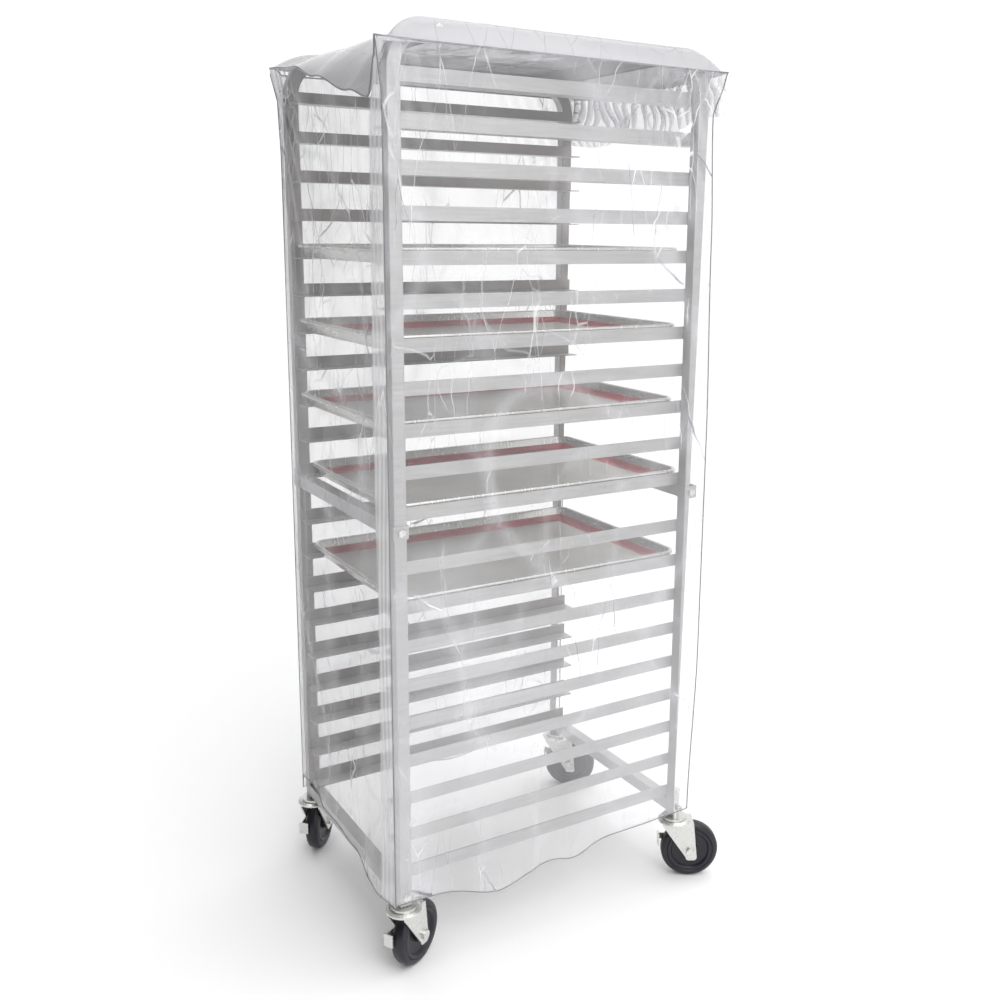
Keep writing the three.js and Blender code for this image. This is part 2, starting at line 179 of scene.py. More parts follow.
# ---- Properties ----
class FinishColours(bpy.types.PropertyGroup):
    aluminium: bpy.props.StringProperty(
        name="Aluminium", description="Outer faces of the frame, hex", default="#BAB9B9"
    )
    # The inner colour is painted shade: a darker taupe grey for faces turned into the rack's shadowed middle.
    inner_shade: bpy.props.StringProperty(
        name="Inner painted shade", description="Unbrushed inner faces of the frame, hex", default="#827D77"
    )
    pan: bpy.props.StringProperty(name="Pans", description="Pressed pans, hex", default="#DEDDD9")
    zinc: bpy.props.StringProperty(name="Zinc", description="Plated caster steel, hex", default="#DADAD6")
    wheel: bpy.props.StringProperty(name="Wheels", description="Moulded wheels, hex", default="#15121C")
    border: bpy.props.StringProperty(name="Mat border", description="Border, hex", default="#B00808")
    weave: bpy.props.StringProperty(name="Mat middle", description="Woven middle, hex", default="#E6E5E0")
    vinyl: bpy.props.StringProperty(name="Vinyl", description="Clear vinyl tint, hex", default="#E8E8EC")
    top: bpy.props.StringProperty(name="Top vinyl", description="White vinyl, hex", default="#C9C9CC")


class CoverSizes(bpy.types.PropertyGroup):
    thickness: bpy.props.FloatProperty(
        name="Thickness", description="Vinyl film", default=0.0005, unit="LENGTH"
    )
    seam_height: bpy.props.FloatProperty(
        name="Seam height", description="Top seam above the floor", default=TOP_Z - 0.038, unit="LENGTH"
    )
    hem_height: bpy.props.FloatProperty(
        name="Hem height", description="Hem at the corners", default=0.162, unit="LENGTH"
    )
    fold_depth: bpy.props.FloatProperty(
        name="Fold depth", description="Soft waves in the sides", default=0.0035, unit="LENGTH"
    )
    crease_depth: bpy.props.FloatProperty(
        name="Crease depth", description="Sharp packing creases", default=0.0022, unit="LENGTH"
    )
    piping: bpy.props.FloatProperty(
        name="Piping", description="Radius of the sewn edge", default=0.0016, unit="LENGTH"
    )


class PanSizes(bpy.types.PropertyGroup):
    wall: bpy.props.FloatProperty(name="Wall", description="Sheet", default=0.0012, unit="LENGTH")
    bead: bpy.props.FloatProperty(
        name="Bead", description="Radius of the rolled rim", default=0.0032, unit="LENGTH"
    )
    border: bpy.props.FloatProperty(
        name="Mat border", description="Width of the coloured border", default=0.021, unit="LENGTH"
    )
    curl: bpy.props.FloatProperty(
        name="Mat curl", description="How far the mat climbs the walls", default=0.0115, unit="LENGTH"
    )


class StudioSizes(bpy.types.PropertyGroup):
    camera_place: bpy.props.FloatVectorProperty(
        name="Camera", description="From the middle of the rack", default=(2.019, -1.1297, 1.4146),
        subtype="TRANSLATION",
    )
    heading: bpy.props.FloatProperty(
        name="Heading", description="Camera heading from +Y", default=math.radians(58.245), subtype="ANGLE"
    )
    dip: bpy.props.FloatProperty(
        name="Dip", description="Camera looks down by", default=math.radians(11.577), subtype="ANGLE"
    )
    roll: bpy.props.FloatProperty(
        name="Roll", description="Camera roll", default=math.radians(0.586), subtype="ANGLE"
    )
    lens: bpy.props.FloatProperty(name="Lens", description="Focal length, mm", default=40.04)
    shift: bpy.props.FloatVectorProperty(
        name="Shift", description="Lens shift", default=(-0.04, -0.04), size=2
    )
    floor: bpy.props.FloatProperty(
        name="Floor", description="Side of the floor", default=60.0, unit="LENGTH"
    )


# ---- Finishes ----
def brushed_aluminium(colours):
    # Extruded aluminium, brushed outside with fine streaks along each length; faces turned towards the rack's
    # middle are painted a darker taupe grey as painted shade for the shadowed inside of the rack.
    material, tree, shader, place = start_material("brushed_aluminium")
    streaks = add_node(
        tree, "ShaderNodeTexNoise", values={"Scale": 1.0, "Detail": 4.0, "Roughness": 0.6},
        links={"Vector": scaled(tree, place, (900.0, 12.0, 260.0))},
    )
    blotches = add_node(
        tree, "ShaderNodeTexNoise", values={"Scale": 9.0, "Detail": 3.0}, links={"Vector": place}
    )
    outer = ramp(tree, streaks, [(0.3, "#A8A7A7"), (0.7, colours.aluminium)])
    inner = ramp(tree, blotches, [(0.3, "#736E68"), (0.7, colours.inner_shade)])
    # Painted shade: faces turned towards the rack's middle take the darker inner colour, which stands in for
    # the shade inside the rack.
    centred = add_node(
        tree, "ShaderNodeVectorMath", {"operation": "SUBTRACT"}, {1: tuple(MIDDLE)}, {0: place}
    )
    side = add_node(tree, "ShaderNodeSeparateXYZ", links={"Vector": centred})
    facing = add_node(
        tree, "ShaderNodeSeparateXYZ",
        links={"Vector": (add_node(tree, "ShaderNodeNewGeometry"), "Normal")},
    )
    towards = add_node(
        tree, "ShaderNodeMath", {"operation": "MULTIPLY"}, links={0: (side, "X"), 1: (facing, "X")}
    )
    inside = add_node(
        tree, "ShaderNodeMapRange",
        values={"From Min": -0.02, "From Max": -0.12, "To Min": 0.0, "To Max": 1.0},
        links={"Value": towards},
    )
    colour = add_node(
        tree, "ShaderNodeMix", {"data_type": "RGBA"}, links={0: inside, 6: outer, 7: inner}
    )
    tree.links.new(colour.outputs[2], shader.inputs["Base Color"])
    rough = add_node(
        tree, "ShaderNodeMapRange", values={"To Min": 0.34, "To Max": 0.5}, links={"Value": streaks}
    )
    tree.links.new(rough.outputs[0], shader.inputs["Roughness"])
    grain = add_node(
        tree, "ShaderNodeBump", values={"Strength": 0.12, "Distance": 0.0004}, links={"Height": streaks}
    )
    tree.links.new(grain.outputs[0], shader.inputs["Normal"])
    shader.inputs["Metallic"].default_value = 0.55
    return material


def pressed_aluminium(colours):
    # Pressed sheet aluminium, a little dulled by use: broad cloudy sheen with rubbed streaks.
    material, tree, shader, place = start_material("pressed_aluminium")
    clouds = add_node(
        tree, "ShaderNodeTexNoise", values={"Scale": 7.0, "Detail": 5.0, "Roughness": 0.55},
        links={"Vector": place},
    )
    rubs = add_node(
        tree, "ShaderNodeTexNoise", values={"Scale": 1.0, "Detail": 3.0},
        links={"Vector": scaled(tree, place, (18.0, 240.0, 60.0))},
    )
    colour = ramp(tree, clouds, [(0.3, "#C4C3BF"), (0.65, colours.pan)])
    tree.links.new(colour.outputs[0], shader.inputs["Base Color"])
    rough = add_node(
        tree, "ShaderNodeMapRange", values={"To Min": 0.16, "To Max": 0.34}, links={"Value": rubs}
    )
    tree.links.new(rough.outputs[0], shader.inputs["Roughness"])
    dents = add_node(
        tree, "ShaderNodeBump", values={"Strength": 0.1, "Distance": 0.001}, links={"Height": clouds}
    )
    tree.links.new(dents.outputs[0], shader.inputs["Normal"])
    shader.inputs["Metallic"].default_value = 0.65
    return material


def zinc_plate(colours):
    # Bright zinc on pressed steel: pale, slightly mottled, with a tight highlight.
    material, tree, shader, place = start_material("zinc_plate")
    mottle = add_node(
        tree, "ShaderNodeTexNoise", values={"Scale": 160.0, "Detail": 3.0}, links={"Vector": place}
    )
    colour = ramp(tree, mottle, [(0.35, "#D3D3D0"), (0.6, colours.zinc)])
    tree.links.new(colour.outputs[0], shader.inputs["Base Color"])
    rough = add_node(
        tree, "ShaderNodeMapRange", values={"To Min": 0.2, "To Max": 0.38}, links={"Value": mottle}
    )
    tree.links.new(rough.outputs[0], shader.inputs["Roughness"])
    shader.inputs["Metallic"].default_value = 0.8
    return material


def moulded_wheel(colours):
    # Hard moulded rubber with a violet cast: dull tread with scuffs, smoother web.
    material, tree, shader, place = start_material("moulded_rubber")
    scuffs = add_node(
        tree, "ShaderNodeTexNoise", values={"Scale": 220.0, "Detail": 4.0}, links={"Vector": place}
    )
    colour = ramp(tree, scuffs, [(0.35, colours.wheel), (0.75, "#1E1B26")])
    tree.links.new(colour.outputs[0], shader.inputs["Base Color"])
    rough = add_node(
        tree, "ShaderNodeMapRange", values={"To Min": 0.28, "To Max": 0.5}, links={"Value": scuffs}
    )
    tree.links.new(rough.outputs[0], shader.inputs["Roughness"])
    pits = add_node(
        tree, "ShaderNodeBump", values={"Strength": 0.2, "Distance": 0.0003}, links={"Height": scuffs}
    )
    tree.links.new(pits.outputs[0], shader.inputs["Normal"])
    return material


def silicone_mat(colours, border):
    # Silicone over glass weave: a flat red border round a pale translucent middle with fine threads.
    material, tree, shader, place = start_material("silicone_mat")
    across = add_node(tree, "ShaderNodeAttribute", {"attribute_name": "to_edge"})
    edge = add_node(
        tree, "ShaderNodeMapRange",
        values={"From Min": border * 0.93, "From Max": border * 1.07}, links={"Value": (across, "Fac")},
    )
    # The real threads are too fine to show, so they are drawn 2 mm apart.
    threads = add_node(
        tree, "ShaderNodeTexWave", {"bands_direction": "X"}, {"Scale": 160.0, "Distortion": 1.0},
        {"Vector": place},
    )
    crossing = add_node(
        tree, "ShaderNodeTexWave", {"bands_direction": "Y"}, {"Scale": 160.0, "Distortion": 1.0},
        {"Vector": place},
    )
    weave = add_node(
        tree, "ShaderNodeMath", {"operation": "MULTIPLY"}, links={0: threads, 1: crossing}
    )
    patches = add_node(
        tree, "ShaderNodeTexNoise", values={"Scale": 8.0, "Detail": 4.0}, links={"Vector": place}
    )
    middle = ramp(tree, patches, [(0.3, "#D0CEC8"), (0.7, colours.weave)])
    red = ramp(tree, patches, [(0.3, "#8C0606"), (0.7, colours.border)])
    colour = add_node(tree, "ShaderNodeMix", {"data_type": "RGBA"}, links={0: edge, 6: red, 7: middle})
    tree.links.new(colour.outputs[2], shader.inputs["Base Color"])
    cloth = add_node(
        tree, "ShaderNodeBump", values={"Strength": 0.08, "Distance": 0.0002}, links={"Height": weave}
    )
    tree.links.new(cloth.outputs[0], shader.inputs["Normal"])
    alpha = add_node(
        tree, "ShaderNodeMapRange", values={"To Min": 1.0, "To Max": 0.7}, links={"Value": edge}
    )
    tree.links.new(alpha.outputs[0], shader.inputs["Alpha"])
    shader.inputs["Roughness"].default_value = 0.3
    shader.inputs["IOR"].default_value = 1.41
    return material


def vinyl(name, tint, shade, clearness, creased=1.0):
    # Plasticised PVC film: clear and glossy, with painted white glints and thin dark lines of painted shade at
    # creases. The fold attribute darkens the colour towards the shade colour as painted shade, and the glare
    # attribute mixes in white as a painted reflection.
    material, tree, shader, place = start_material(name)
    fold = add_node(tree, "ShaderNodeAttribute", {"attribute_name": "fold"})
    glare = add_node(tree, "ShaderNodeAttribute", {"attribute_name": "glare"})
    drifting = add_node(
        tree, "ShaderNodeTexNoise", values={"Scale": 6.0, "Detail": 2.0}, links={"Vector": place}
    )
    warped = add_node(
        tree, "ShaderNodeVectorMath", {"operation": "MULTIPLY_ADD"}, {1: (0.05, 0.05, 0.05)},
        {0: (drifting, "Color"), 2: place},
    )

    def crease_lines(scale, width, turn):
        """Thin straight creases: 1 on a line and 0 off it."""
        cells = add_node(
            tree, "ShaderNodeTexVoronoi", {"feature": "DISTANCE_TO_EDGE"}, {"Scale": scale},
            {"Vector": scaled(tree, warped, (1.0, 1.0, 0.2), turn)},
        )
        return add_node(
            tree, "ShaderNodeMapRange", values={"From Max": width, "To Min": 1.0, "To Max": 0.0},
            links={"Value": cells},
        )

    # The glints are painted highlights: white mixed into the colour along crease lines. The second set of lines
    # is painted shade: dark grey lines in the crease valleys.
    glints = crease_lines(17.0, 0.012, (0.25, 0.1, 0.0))
    crease_shade_lines = crease_lines(11.0, 0.009, (-0.2, 0.15, 0.3))
    # Creases come in clusters, and there are more of them where the film is gathered.
    clusters = add_node(
        tree, "ShaderNodeTexNoise", values={"Scale": 4.5, "Detail": 3.0}, links={"Vector": place}
    )
    crowded = add_node(
        tree, "ShaderNodeMath", {"operation": "MULTIPLY_ADD"}, {1: 0.5}, {0: (fold, "Fac"), 2: clusters}
    )
    present = add_node(
        tree, "ShaderNodeMapRange", values={"From Min": 0.52, "From Max": 0.75, "To Max": creased},
        links={"Value": crowded}
    )
    glint = add_node(tree, "ShaderNodeMath", {"operation": "MULTIPLY"}, links={0: glints, 1: present})
    painted_crease_shade = add_node(tree, "ShaderNodeMath", {"operation": "MULTIPLY"}, links={0: crease_shade_lines, 1: present})
    waves = add_node(
        tree, "ShaderNodeTexNoise", values={"Scale": 14.0, "Detail": 3.0, "Distortion": 0.8},
        links={"Vector": scaled(tree, place, (1.0, 1.0, 0.3))},
    )
    relief = add_node(
        tree, "ShaderNodeMath", {"operation": "MULTIPLY_ADD"}, {1: 0.6}, {0: glints, 2: waves}
    )
    surface = add_node(
        tree, "ShaderNodeBump", values={"Strength": 0.45, "Distance": 0.004}, links={"Height": relief}
    )
    tree.links.new(surface.outputs[0], shader.inputs["Normal"])
    # Painted shade: the tint runs to the shade colour where the fold value passes 0.4; glints and glare then
    # paint white over it as painted highlight and reflection, and the crease lines paint dark grey shade.
    sheet = ramp(tree, (fold, "Fac"), [(0.0, tint), (0.4, tint), (1.0, shade)])
    lit = add_node(
        tree, "ShaderNodeMix", {"data_type": "RGBA"}, {7: linear("#FFFFFF")},
        {0: add_node(tree, "ShaderNodeMath", {"operation": "MAXIMUM"}, links={0: glint, 1: (glare, "Fac")}),
         6: (sheet, "Color")},
    )
    colour = add_node(
        tree, "ShaderNodeMix", {"data_type": "RGBA"}, {7: linear("#77747C")}, {0: painted_crease_shade, 6: (lit, 2)}
    )
    tree.links.new(colour.outputs[2], shader.inputs["Base Color"])
    rim = add_node(tree, "ShaderNodeLayerWeight", values={"Blend": 0.3}, links={"Normal": surface})
    grazing = add_node(tree, "ShaderNodeMath", {"operation": "POWER"}, {1: 2.5}, {0: (rim, "Facing")})
    haze = add_node(
        tree, "ShaderNodeMath", {"operation": "MULTIPLY_ADD"}, {1: 0.4, 2: clearness}, {0: grazing}
    )
    folded = add_node(
        tree, "ShaderNodeMath", {"operation": "MULTIPLY_ADD"}, {1: 0.3}, {0: (fold, "Fac"), 2: haze}
    )
    veiled = add_node(
        tree, "ShaderNodeMath", {"operation": "MULTIPLY_ADD"}, {1: 0.8}, {0: (glare, "Fac"), 2: folded}
    )
    bright = add_node(
        tree, "ShaderNodeMath", {"operation": "MULTIPLY_ADD"}, {1: 0.6}, {0: glint, 2: veiled}
    )
    total = add_node(
        tree, "ShaderNodeMath", {"operation": "MULTIPLY_ADD", "use_clamp": True}, {1: 0.55},
        {0: painted_crease_shade, 2: bright},
    )
    tree.links.new(total.outputs[0], shader.inputs["Alpha"])
    shader.inputs["Roughness"].default_value = 0.1
    shader.inputs["IOR"].default_value = 1.53
    return material


class RACK_OT_finishes(bpy.types.Operator):
    """Give every CAD node its finish"""

    bl_idname = "rack.finishes"
    bl_label = "Finishes"

    def execute(self, context):
        colours = context.scene.rack_colours
        aluminium = brushed_aluminium(colours)
        zinc = zinc_plate(colours)
        rubber = moulded_wheel(colours)
        pressed = pressed_aluminium(colours)
        silicone = silicone_mat(colours, context.scene.rack_pans.border)
        by_start = {
            "ladder": aluminium,
            "crossbar": aluminium,
            "saddle": aluminium,
            "bolt": zinc,
            "caster_wheel": rubber,
            "caster": zinc,
            "sheet_pan": pressed,
            "baking_mat": silicone,
            "cover": vinyl("clear_vinyl", colours.vinyl, "#7C7880", 0.055),
        }
        for name, obj in NODES.items():
            finish = next(made for start, made in by_start.items() if name.startswith(start))
            obj.data.materials.clear()
            obj.data.materials.append(finish)
        return {"FINISHED"}


# ---- Pans and mats ----
def nearest_core(point, inner_x, inner_y):
    """Nearest point, in plan, of the rectangle that the corners are rounded about."""
    x = max(-inner_x, min(inner_x, point.x))
    y = max(-inner_y, min(inner_y, point.y))
    return Vector((x, y, 0))


def away_from(point, inner_x, inner_y):
    """Outward direction in plan from the rectangle that the corners are rounded about."""
    flat = Vector((point.x, point.y, 0))
    return (flat - nearest_core(point, inner_x, inner_y)).normalized()


def rounded_floor(half_x, half_y, corner):
    """A flat floor with rounded corners, as a bmesh."""
    bm = bmesh.new()
    bmesh.ops.create_grid(bm, x_segments=1, y_segments=1, size=1.0)
    bmesh.ops.scale(bm, vec=(half_x, half_y, 1.0), verts=bm.verts)
    bmesh.ops.bevel(
        bm, geom=bm.verts[:], offset=corner, offset_type="OFFSET", segments=8, profile=0.5,
        affect="VERTICES", material=-1,
    )
    return bm


def slice_across(bm, spots_x, spots_y):
    """Cuts a flat mesh along lines of constant x and of constant y."""
    for axis, spots in (((1, 0, 0), spots_x), ((0, 1, 0), spots_y)):
        for at in spots:
            bmesh.ops.bisect_plane(
                bm, geom=bm.verts[:] + bm.edges[:] + bm.faces[:],
                plane_co=Vector(axis) * at, plane_no=axis,
            )


PAN_SLOPE = 0.018  # how far each wall leans out, bead included
PAN_CORNER = 0.014
MAT_SPARE = 0.009  # what the mat has over the floor on each side
MAT_CORNER = 0.012
MAT_CLIMB = 0.014  # width of the edge that climbs the wall
MAT_THICKNESS = 0.0008


def make_pan(tier, sizes, material):
    low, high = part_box(f"sheet_pan_{tier}")
    middle = (low + high) / 2
    half_x, half_y = (high.x - low.x) / 2, (high.y - low.y) / 2
    slope, corner, bead = PAN_SLOPE, PAN_CORNER, sizes.bead
    inner_x, inner_y = half_x - slope - corner, half_y - slope - corner
    bm = rounded_floor(half_x - slope, half_y - slope, corner)
    crown = high.z - low.z - bead
    reach = slope - 2 * bead
    # Each step is (outwards, up): the bend at the foot, the wall, then round the rolled bead.
    steps = [(0.0012, 0.0004), (0.0024, 0.0018), (0.6 * reach, 0.55 * crown), (reach, crown)]
    steps += [
        (slope - bead - bead * math.cos(turn), crown + bead * math.sin(turn))
        for turn in (math.radians(step * 40) for step in range(1, 8))
    ]
    rim = [edge for edge in bm.edges if edge.is_boundary]
    moved = 0.0
    for outwards, up in steps:
        made = bmesh.ops.extrude_edge_only(bm, edges=rim)["geom"]
        rim = [part for part in made if isinstance(part, bmesh.types.BMEdge)]
        for vert in (part for part in made if isinstance(part, bmesh.types.BMVert)):
            vert.co += away_from(vert.co, inner_x, inner_y) * (outwards - moved)
            vert.co.z = up
        moved = outwards
    bmesh.ops.translate(bm, verts=bm.verts, vec=(middle.x, middle.y, low.z))
    obj = piece(f"sheet_pan_body_{tier}", bm, material, f"pan_{tier}", 50)
    thicken(obj, sizes.wall, 1.0)
    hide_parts(f"sheet_pan_{tier}")
    return obj


def make_mat(tier, sizes, material):
    """A mat cut a little larger than the floor, so its edge climbs the pan's walls."""
    low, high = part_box(f"baking_mat_{tier}")
    middle = (low + high) / 2
    corner = MAT_CORNER
    half_x, half_y = (high.x - low.x) / 2 + MAT_SPARE, (high.y - low.y) / 2 + MAT_SPARE
    inner_x, inner_y = half_x - corner, half_y - corner
    bm = rounded_floor(half_x, half_y, corner)
    near_edge = [0.002, 0.005, 0.008, 0.011, 0.014, 0.018, 0.021, 0.024]
    even = [-0.8 + 0.16 * step for step in range(11)]
    lines_x, lines_y = (
        [side * (half - at) for side in (-1, 1) for at in near_edge] + [half * at for at in even]
        for half in (half_x, half_y)
    )
    slice_across(bm, lines_x, lines_y)
    to_edge = bm.verts.layers.float.new("to_edge")
    for vert in bm.verts:
        beyond = (vert.co - nearest_core(vert.co, inner_x, inner_y)).length
        inside = min(half_x - abs(vert.co.x), half_y - abs(vert.co.y))
        distance = corner - beyond if beyond > 0 else inside
        vert[to_edge] = distance
        climb = 1 - min(max(distance, 0.0) / MAT_CLIMB, 1.0)
        ripple = noise.noise(Vector((vert.co.x * 9, vert.co.y * 9, tier))) * 0.0006
        vert.co.z = sizes.curl * climb**1.6 + ripple + MAT_THICKNESS
    bmesh.ops.translate(bm, verts=bm.verts, vec=(middle.x, middle.y, low.z))
    obj = piece(f"baking_mat_sheet_{tier}", bm, material, f"pan_{tier}", 60)
    thicken(obj, MAT_THICKNESS)
    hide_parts(f"baking_mat_{tier}")
    return obj


class RACK_OT_pans(bpy.types.Operator):
    """Press the sheet pans, each with its rolled rim"""

    bl_idname = "rack.pans"
    bl_label = "Sheet pans"

    def execute(self, context):
        for tier in PAN_TIERS:
            make_pan(tier, context.scene.rack_pans, bpy.data.materials["pressed_aluminium"])
        return {"FINISHED"}


class RACK_OT_mats(bpy.types.Operator):
    """Lay a baking mat in each lined pan"""

    bl_idname = "rack.mats"
    bl_label = "Baking mats"

    def execute(self, context):
        for tier in LINED_TIERS:
            make_mat(tier, context.scene.rack_pans, bpy.data.materials["silicone_mat"])
        return {"FINISHED"}


# ---- Casters ----
WHEEL_HALF = 0.0158  # half the tread's width
HUB_HALF = 0.018


def make_wheel(caster, material):
    """A moulded wheel spun about its axle: round tread, raised ring, dished web and hub."""
    spin = joint(f"spin_{caster}")
    centre, axle = Vector(spin["pos_m"]), Vector(spin["axis"]).normalized()
    low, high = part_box(f"caster_wheel_{caster}")
    radius = (high.z - low.z) / 2
    half, hub_half = WHEEL_HALF, HUB_HALF
    # (radius, distance from the middle) from the bore out to the tread's middle.
    side = [
        (0.0065, hub_half), (0.016, hub_half), (0.0172, hub_half - 0.001), (0.0185, half - 0.0062),
        (0.040, half - 0.0052), (0.0425, half - 0.0012), (0.044, half - 0.0002), (0.047, half),
        (0.0495, half - 0.0002), (0.0505, half - 0.0016), (0.0518, half - 0.0006), (0.0555, half - 0.0009),
        (radius - 0.0042, half - 0.0026), (radius - 0.0014, half - 0.0052), (radius, half - 0.0095),
    ]
    outline = side + [(r, -y) for r, y in reversed(side)]
    bm = bmesh.new()
    verts = [bm.verts.new((r, y, 0)) for r, y in outline]
    edges = [bm.edges.new(pair) for pair in zip(verts, verts[1:] + verts[:1])]
    bmesh.ops.spin(
        bm, geom=verts + edges, cent=(0, 0, 0), axis=(0, 1, 0), angle=math.tau, steps=72, use_merge=True,
    )
    turn = Vector((0, 1, 0)).rotation_difference(axle).to_matrix().to_4x4()
    bmesh.ops.transform(bm, matrix=Matrix.Translation(centre) @ turn, verts=bm.verts)
    obj = piece(f"wheel_{caster}_tread", bm, material, f"wheel_{caster}", 35)
    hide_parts(f"caster_wheel_{caster}")
    return obj


class RACK_OT_wheels(bpy.types.Operator):
    """Spin the four moulded wheels"""

    bl_idname = "rack.wheels"
    bl_label = "Caster wheels"

    def execute(self, context):
        for caster in CASTERS:
            make_wheel(caster, bpy.data.materials["moulded_rubber"])
        return {"FINISHED"}


# ---- Cover ----
# The four sewn corners: how far each stands from the rack's middle, (height, x, y) up the corner.
CORNERS = {
    ("right", "front"): [
        (0.16, 0.272, 0.359), (1.62, 0.273, 0.359), (1.70, 0.281, 0.370), (1.73, 0.285, 0.376),
    ],
    ("right", "rear"): [
        (0.16, 0.264, 0.350), (0.55, 0.271, 0.357), (1.0, 0.271, 0.357), (1.40, 0.267, 0.353),
        (1.64, 0.2625, 0.3485), (1.70, 0.276, 0.362), (1.73, 0.282, 0.366),
    ],
    ("left", "front"): [
        (0.16, 0.2615, 0.348), (1.55, 0.2615, 0.3475), (1.66, 0.264, 0.350), (1.73, 0.277, 0.360),
    ],
    ("left", "rear"): [(0.16, 0.268, 0.354), (1.62, 0.268, 0.354), (1.73, 0.280, 0.368)],
}
BOLT_BULGE = 0.0102
SIDE_REST = 0.2578  # where a side panel lies against the posts
FRONT_REST = 0.0032  # how far the front panel stands off them
HALF_DEPTH = 0.358
EDGE_X, EDGE_Y = 0.2765, 0.3600  # the top panel's straight edges
EAR_RISE = 0.012  # the pulled corners are read this far above the seam
HEM_CORD = 0.0009
DOOR_HALF = 0.268
DOOR_STANDOFF = 0.017


def corner_at(side, end, z):
    """Where a sewn corner stands at a height, from the rack's middle."""
    stops = CORNERS[(side, end)]
    x = through([(height, out) for height, out, _ in stops], z)
    y = through([(height, out) for height, _, out in stops], z)
    return x * (1 if side == "right" else -1), y * (1 if end == "rear" else -1)


def creases(point, seed):
    """Sharp fold lines: 1 on a crease and 0 away from it."""
    first = noise.noise(point * 2.6 + Vector((seed, 0, 0)))
    second = noise.noise(point * 5.7 + Vector((0, seed, 3)))
    return max(0.0, 1 - abs(first) * 9) ** 2 + 0.6 * max(0.0, 1 - abs(second) * 7) ** 2


def soft_waves(along, z, seed):
    """Loose vertical folds that wander with height, from about -1 to 1."""
    drift = 0.05 * math.sin(3.1 * z + seed)
    wide = 0.5 * math.sin((along + drift) * 17 + seed)
    narrow = 0.35 * math.sin((along - drift) * 31 + 2 * seed)
    return wide + narrow + 0.5 * noise.noise(Vector((along * 6, z * 2.2, seed)))


def front_seam(x):
    """Height of the top seam across the front, which sags towards the right-hand corner."""
    return through(
        [(-0.285, 0.012), (-0.14, 0.0), (-0.03, -0.028), (0.13, -0.068), (0.222, -0.088),
         (0.262, -0.03), (0.285, 0.0)], x,
    )


def side_hem(side, y):
    if side == "right":
        return -0.040 * bump(y, -0.13, 0.085) - 0.024 * bump(y, 0.055, 0.05)
    return -0.03 * bump(y, 0.05, 0.12)


def front_hem(x):
    return through([(-0.26, 0.034), (-0.02, 0.026), (0.055, 0.016), (0.13, -0.016), (0.26, -0.004)], x)


def panel_grid(columns, rows):
    """A unit grid standing in (u, v), both from 0 to 1."""
    bm = bmesh.new()
    bmesh.ops.create_grid(bm, x_segments=columns, y_segments=rows, size=0.5)
    bmesh.ops.translate(bm, verts=bm.verts, vec=(0.5, 0.5, 0))
    return bm


def bolt_push(y, z):
    """How much a side panel is held out by the bolt heads under it, from 0 to 1."""
    return bump(math.hypot(abs(y) - BOLT_Y, z - BOLT_Z), 0, 0.04)


def make_side_panel(side, sizes, material, edging):
    sign = 1 if side == "right" else -1
    seed = 1.7 if side == "right" else 5.3
    bm = panel_grid(96, 170)
    fold = bm.verts.layers.float.new("fold")
    glare = bm.verts.layers.float.new("glare")
    hem = []
    for vert in bm.verts:
        u, v = vert.co.x, vert.co.y
        guess = 2 * HALF_DEPTH * (u - 0.5)
        low = sizes.hem_height + side_hem(side, guess)
        z = low + (sizes.seam_height - low) * v
        front, rear = corner_at(side, "front", z), corner_at(side, "rear", z)
        x = front[0] + (rear[0] - front[0]) * u
        y = front[1] + (rear[1] - front[1]) * u
        # Waves die away at the corners and at the sewn top, and open out towards the hem.
        loose = math.sin(math.pi * u) ** 0.5 * (1 - smoothstep(0.95, 1.0, v)) * (1.3 - 0.5 * v)
        wave = soft_waves(y, z, seed) * sizes.fold_depth * loose
        point = Vector((sign * 2, y, z))
        crease = creases(point, seed)
        pulled = bump(math.hypot(y - rear[1], (z - 1.70) * 0.6), 0, 0.16) + 0.7 * bump(
            math.hypot(y - front[1], (z - 1.70) * 0.6), 0, 0.12
        )
        ray = math.atan2(1.72 - z, abs(abs(y) - 0.37) + 0.02)
        tension = math.sin(ray * 26) * 0.0035 * pulled * loose
        out = wave + crease * sizes.crease_depth * loose + tension
        held = SIDE_REST + BOLT_BULGE * bolt_push(y, z)
        x = sign * max(abs(x) + out + 0.002 * loose, held)
        vert.co = MIDDLE + Vector((x, y, z))
        # Painted shade: the fold value darkens the film towards the shade colour at creases and in the tension
        # folds by the pulled corners.
        vert[fold] = min(1.0, 0.35 * crease + 0.5 * pulled * abs(math.sin(y * 90 + z * 30)))
        # Painted reflection: the glare value paints a white veil, stronger low down, in patches and in the
        # troughs of the waves.
        patch = 0.5 + 0.5 * noise.noise(Vector((y * 5, z * 2.5, seed)))
        low_down = 0.03 + 0.22 * (1 - smoothstep(0.45, 0.95, z))
        vert[glare] = low_down * patch + 0.05 * max(0.0, -wave / 0.004)
        if v < 1e-4:
            hem.append((u, vert.co.copy()))
    obj = piece(f"cover_side_panel_{side}", bm, material, "cover", 180)
    thicken(obj, sizes.thickness)
    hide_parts(f"cover_side_{side}")
    hem_cord(f"cover_hem_{side}", hem, edging)
    return obj


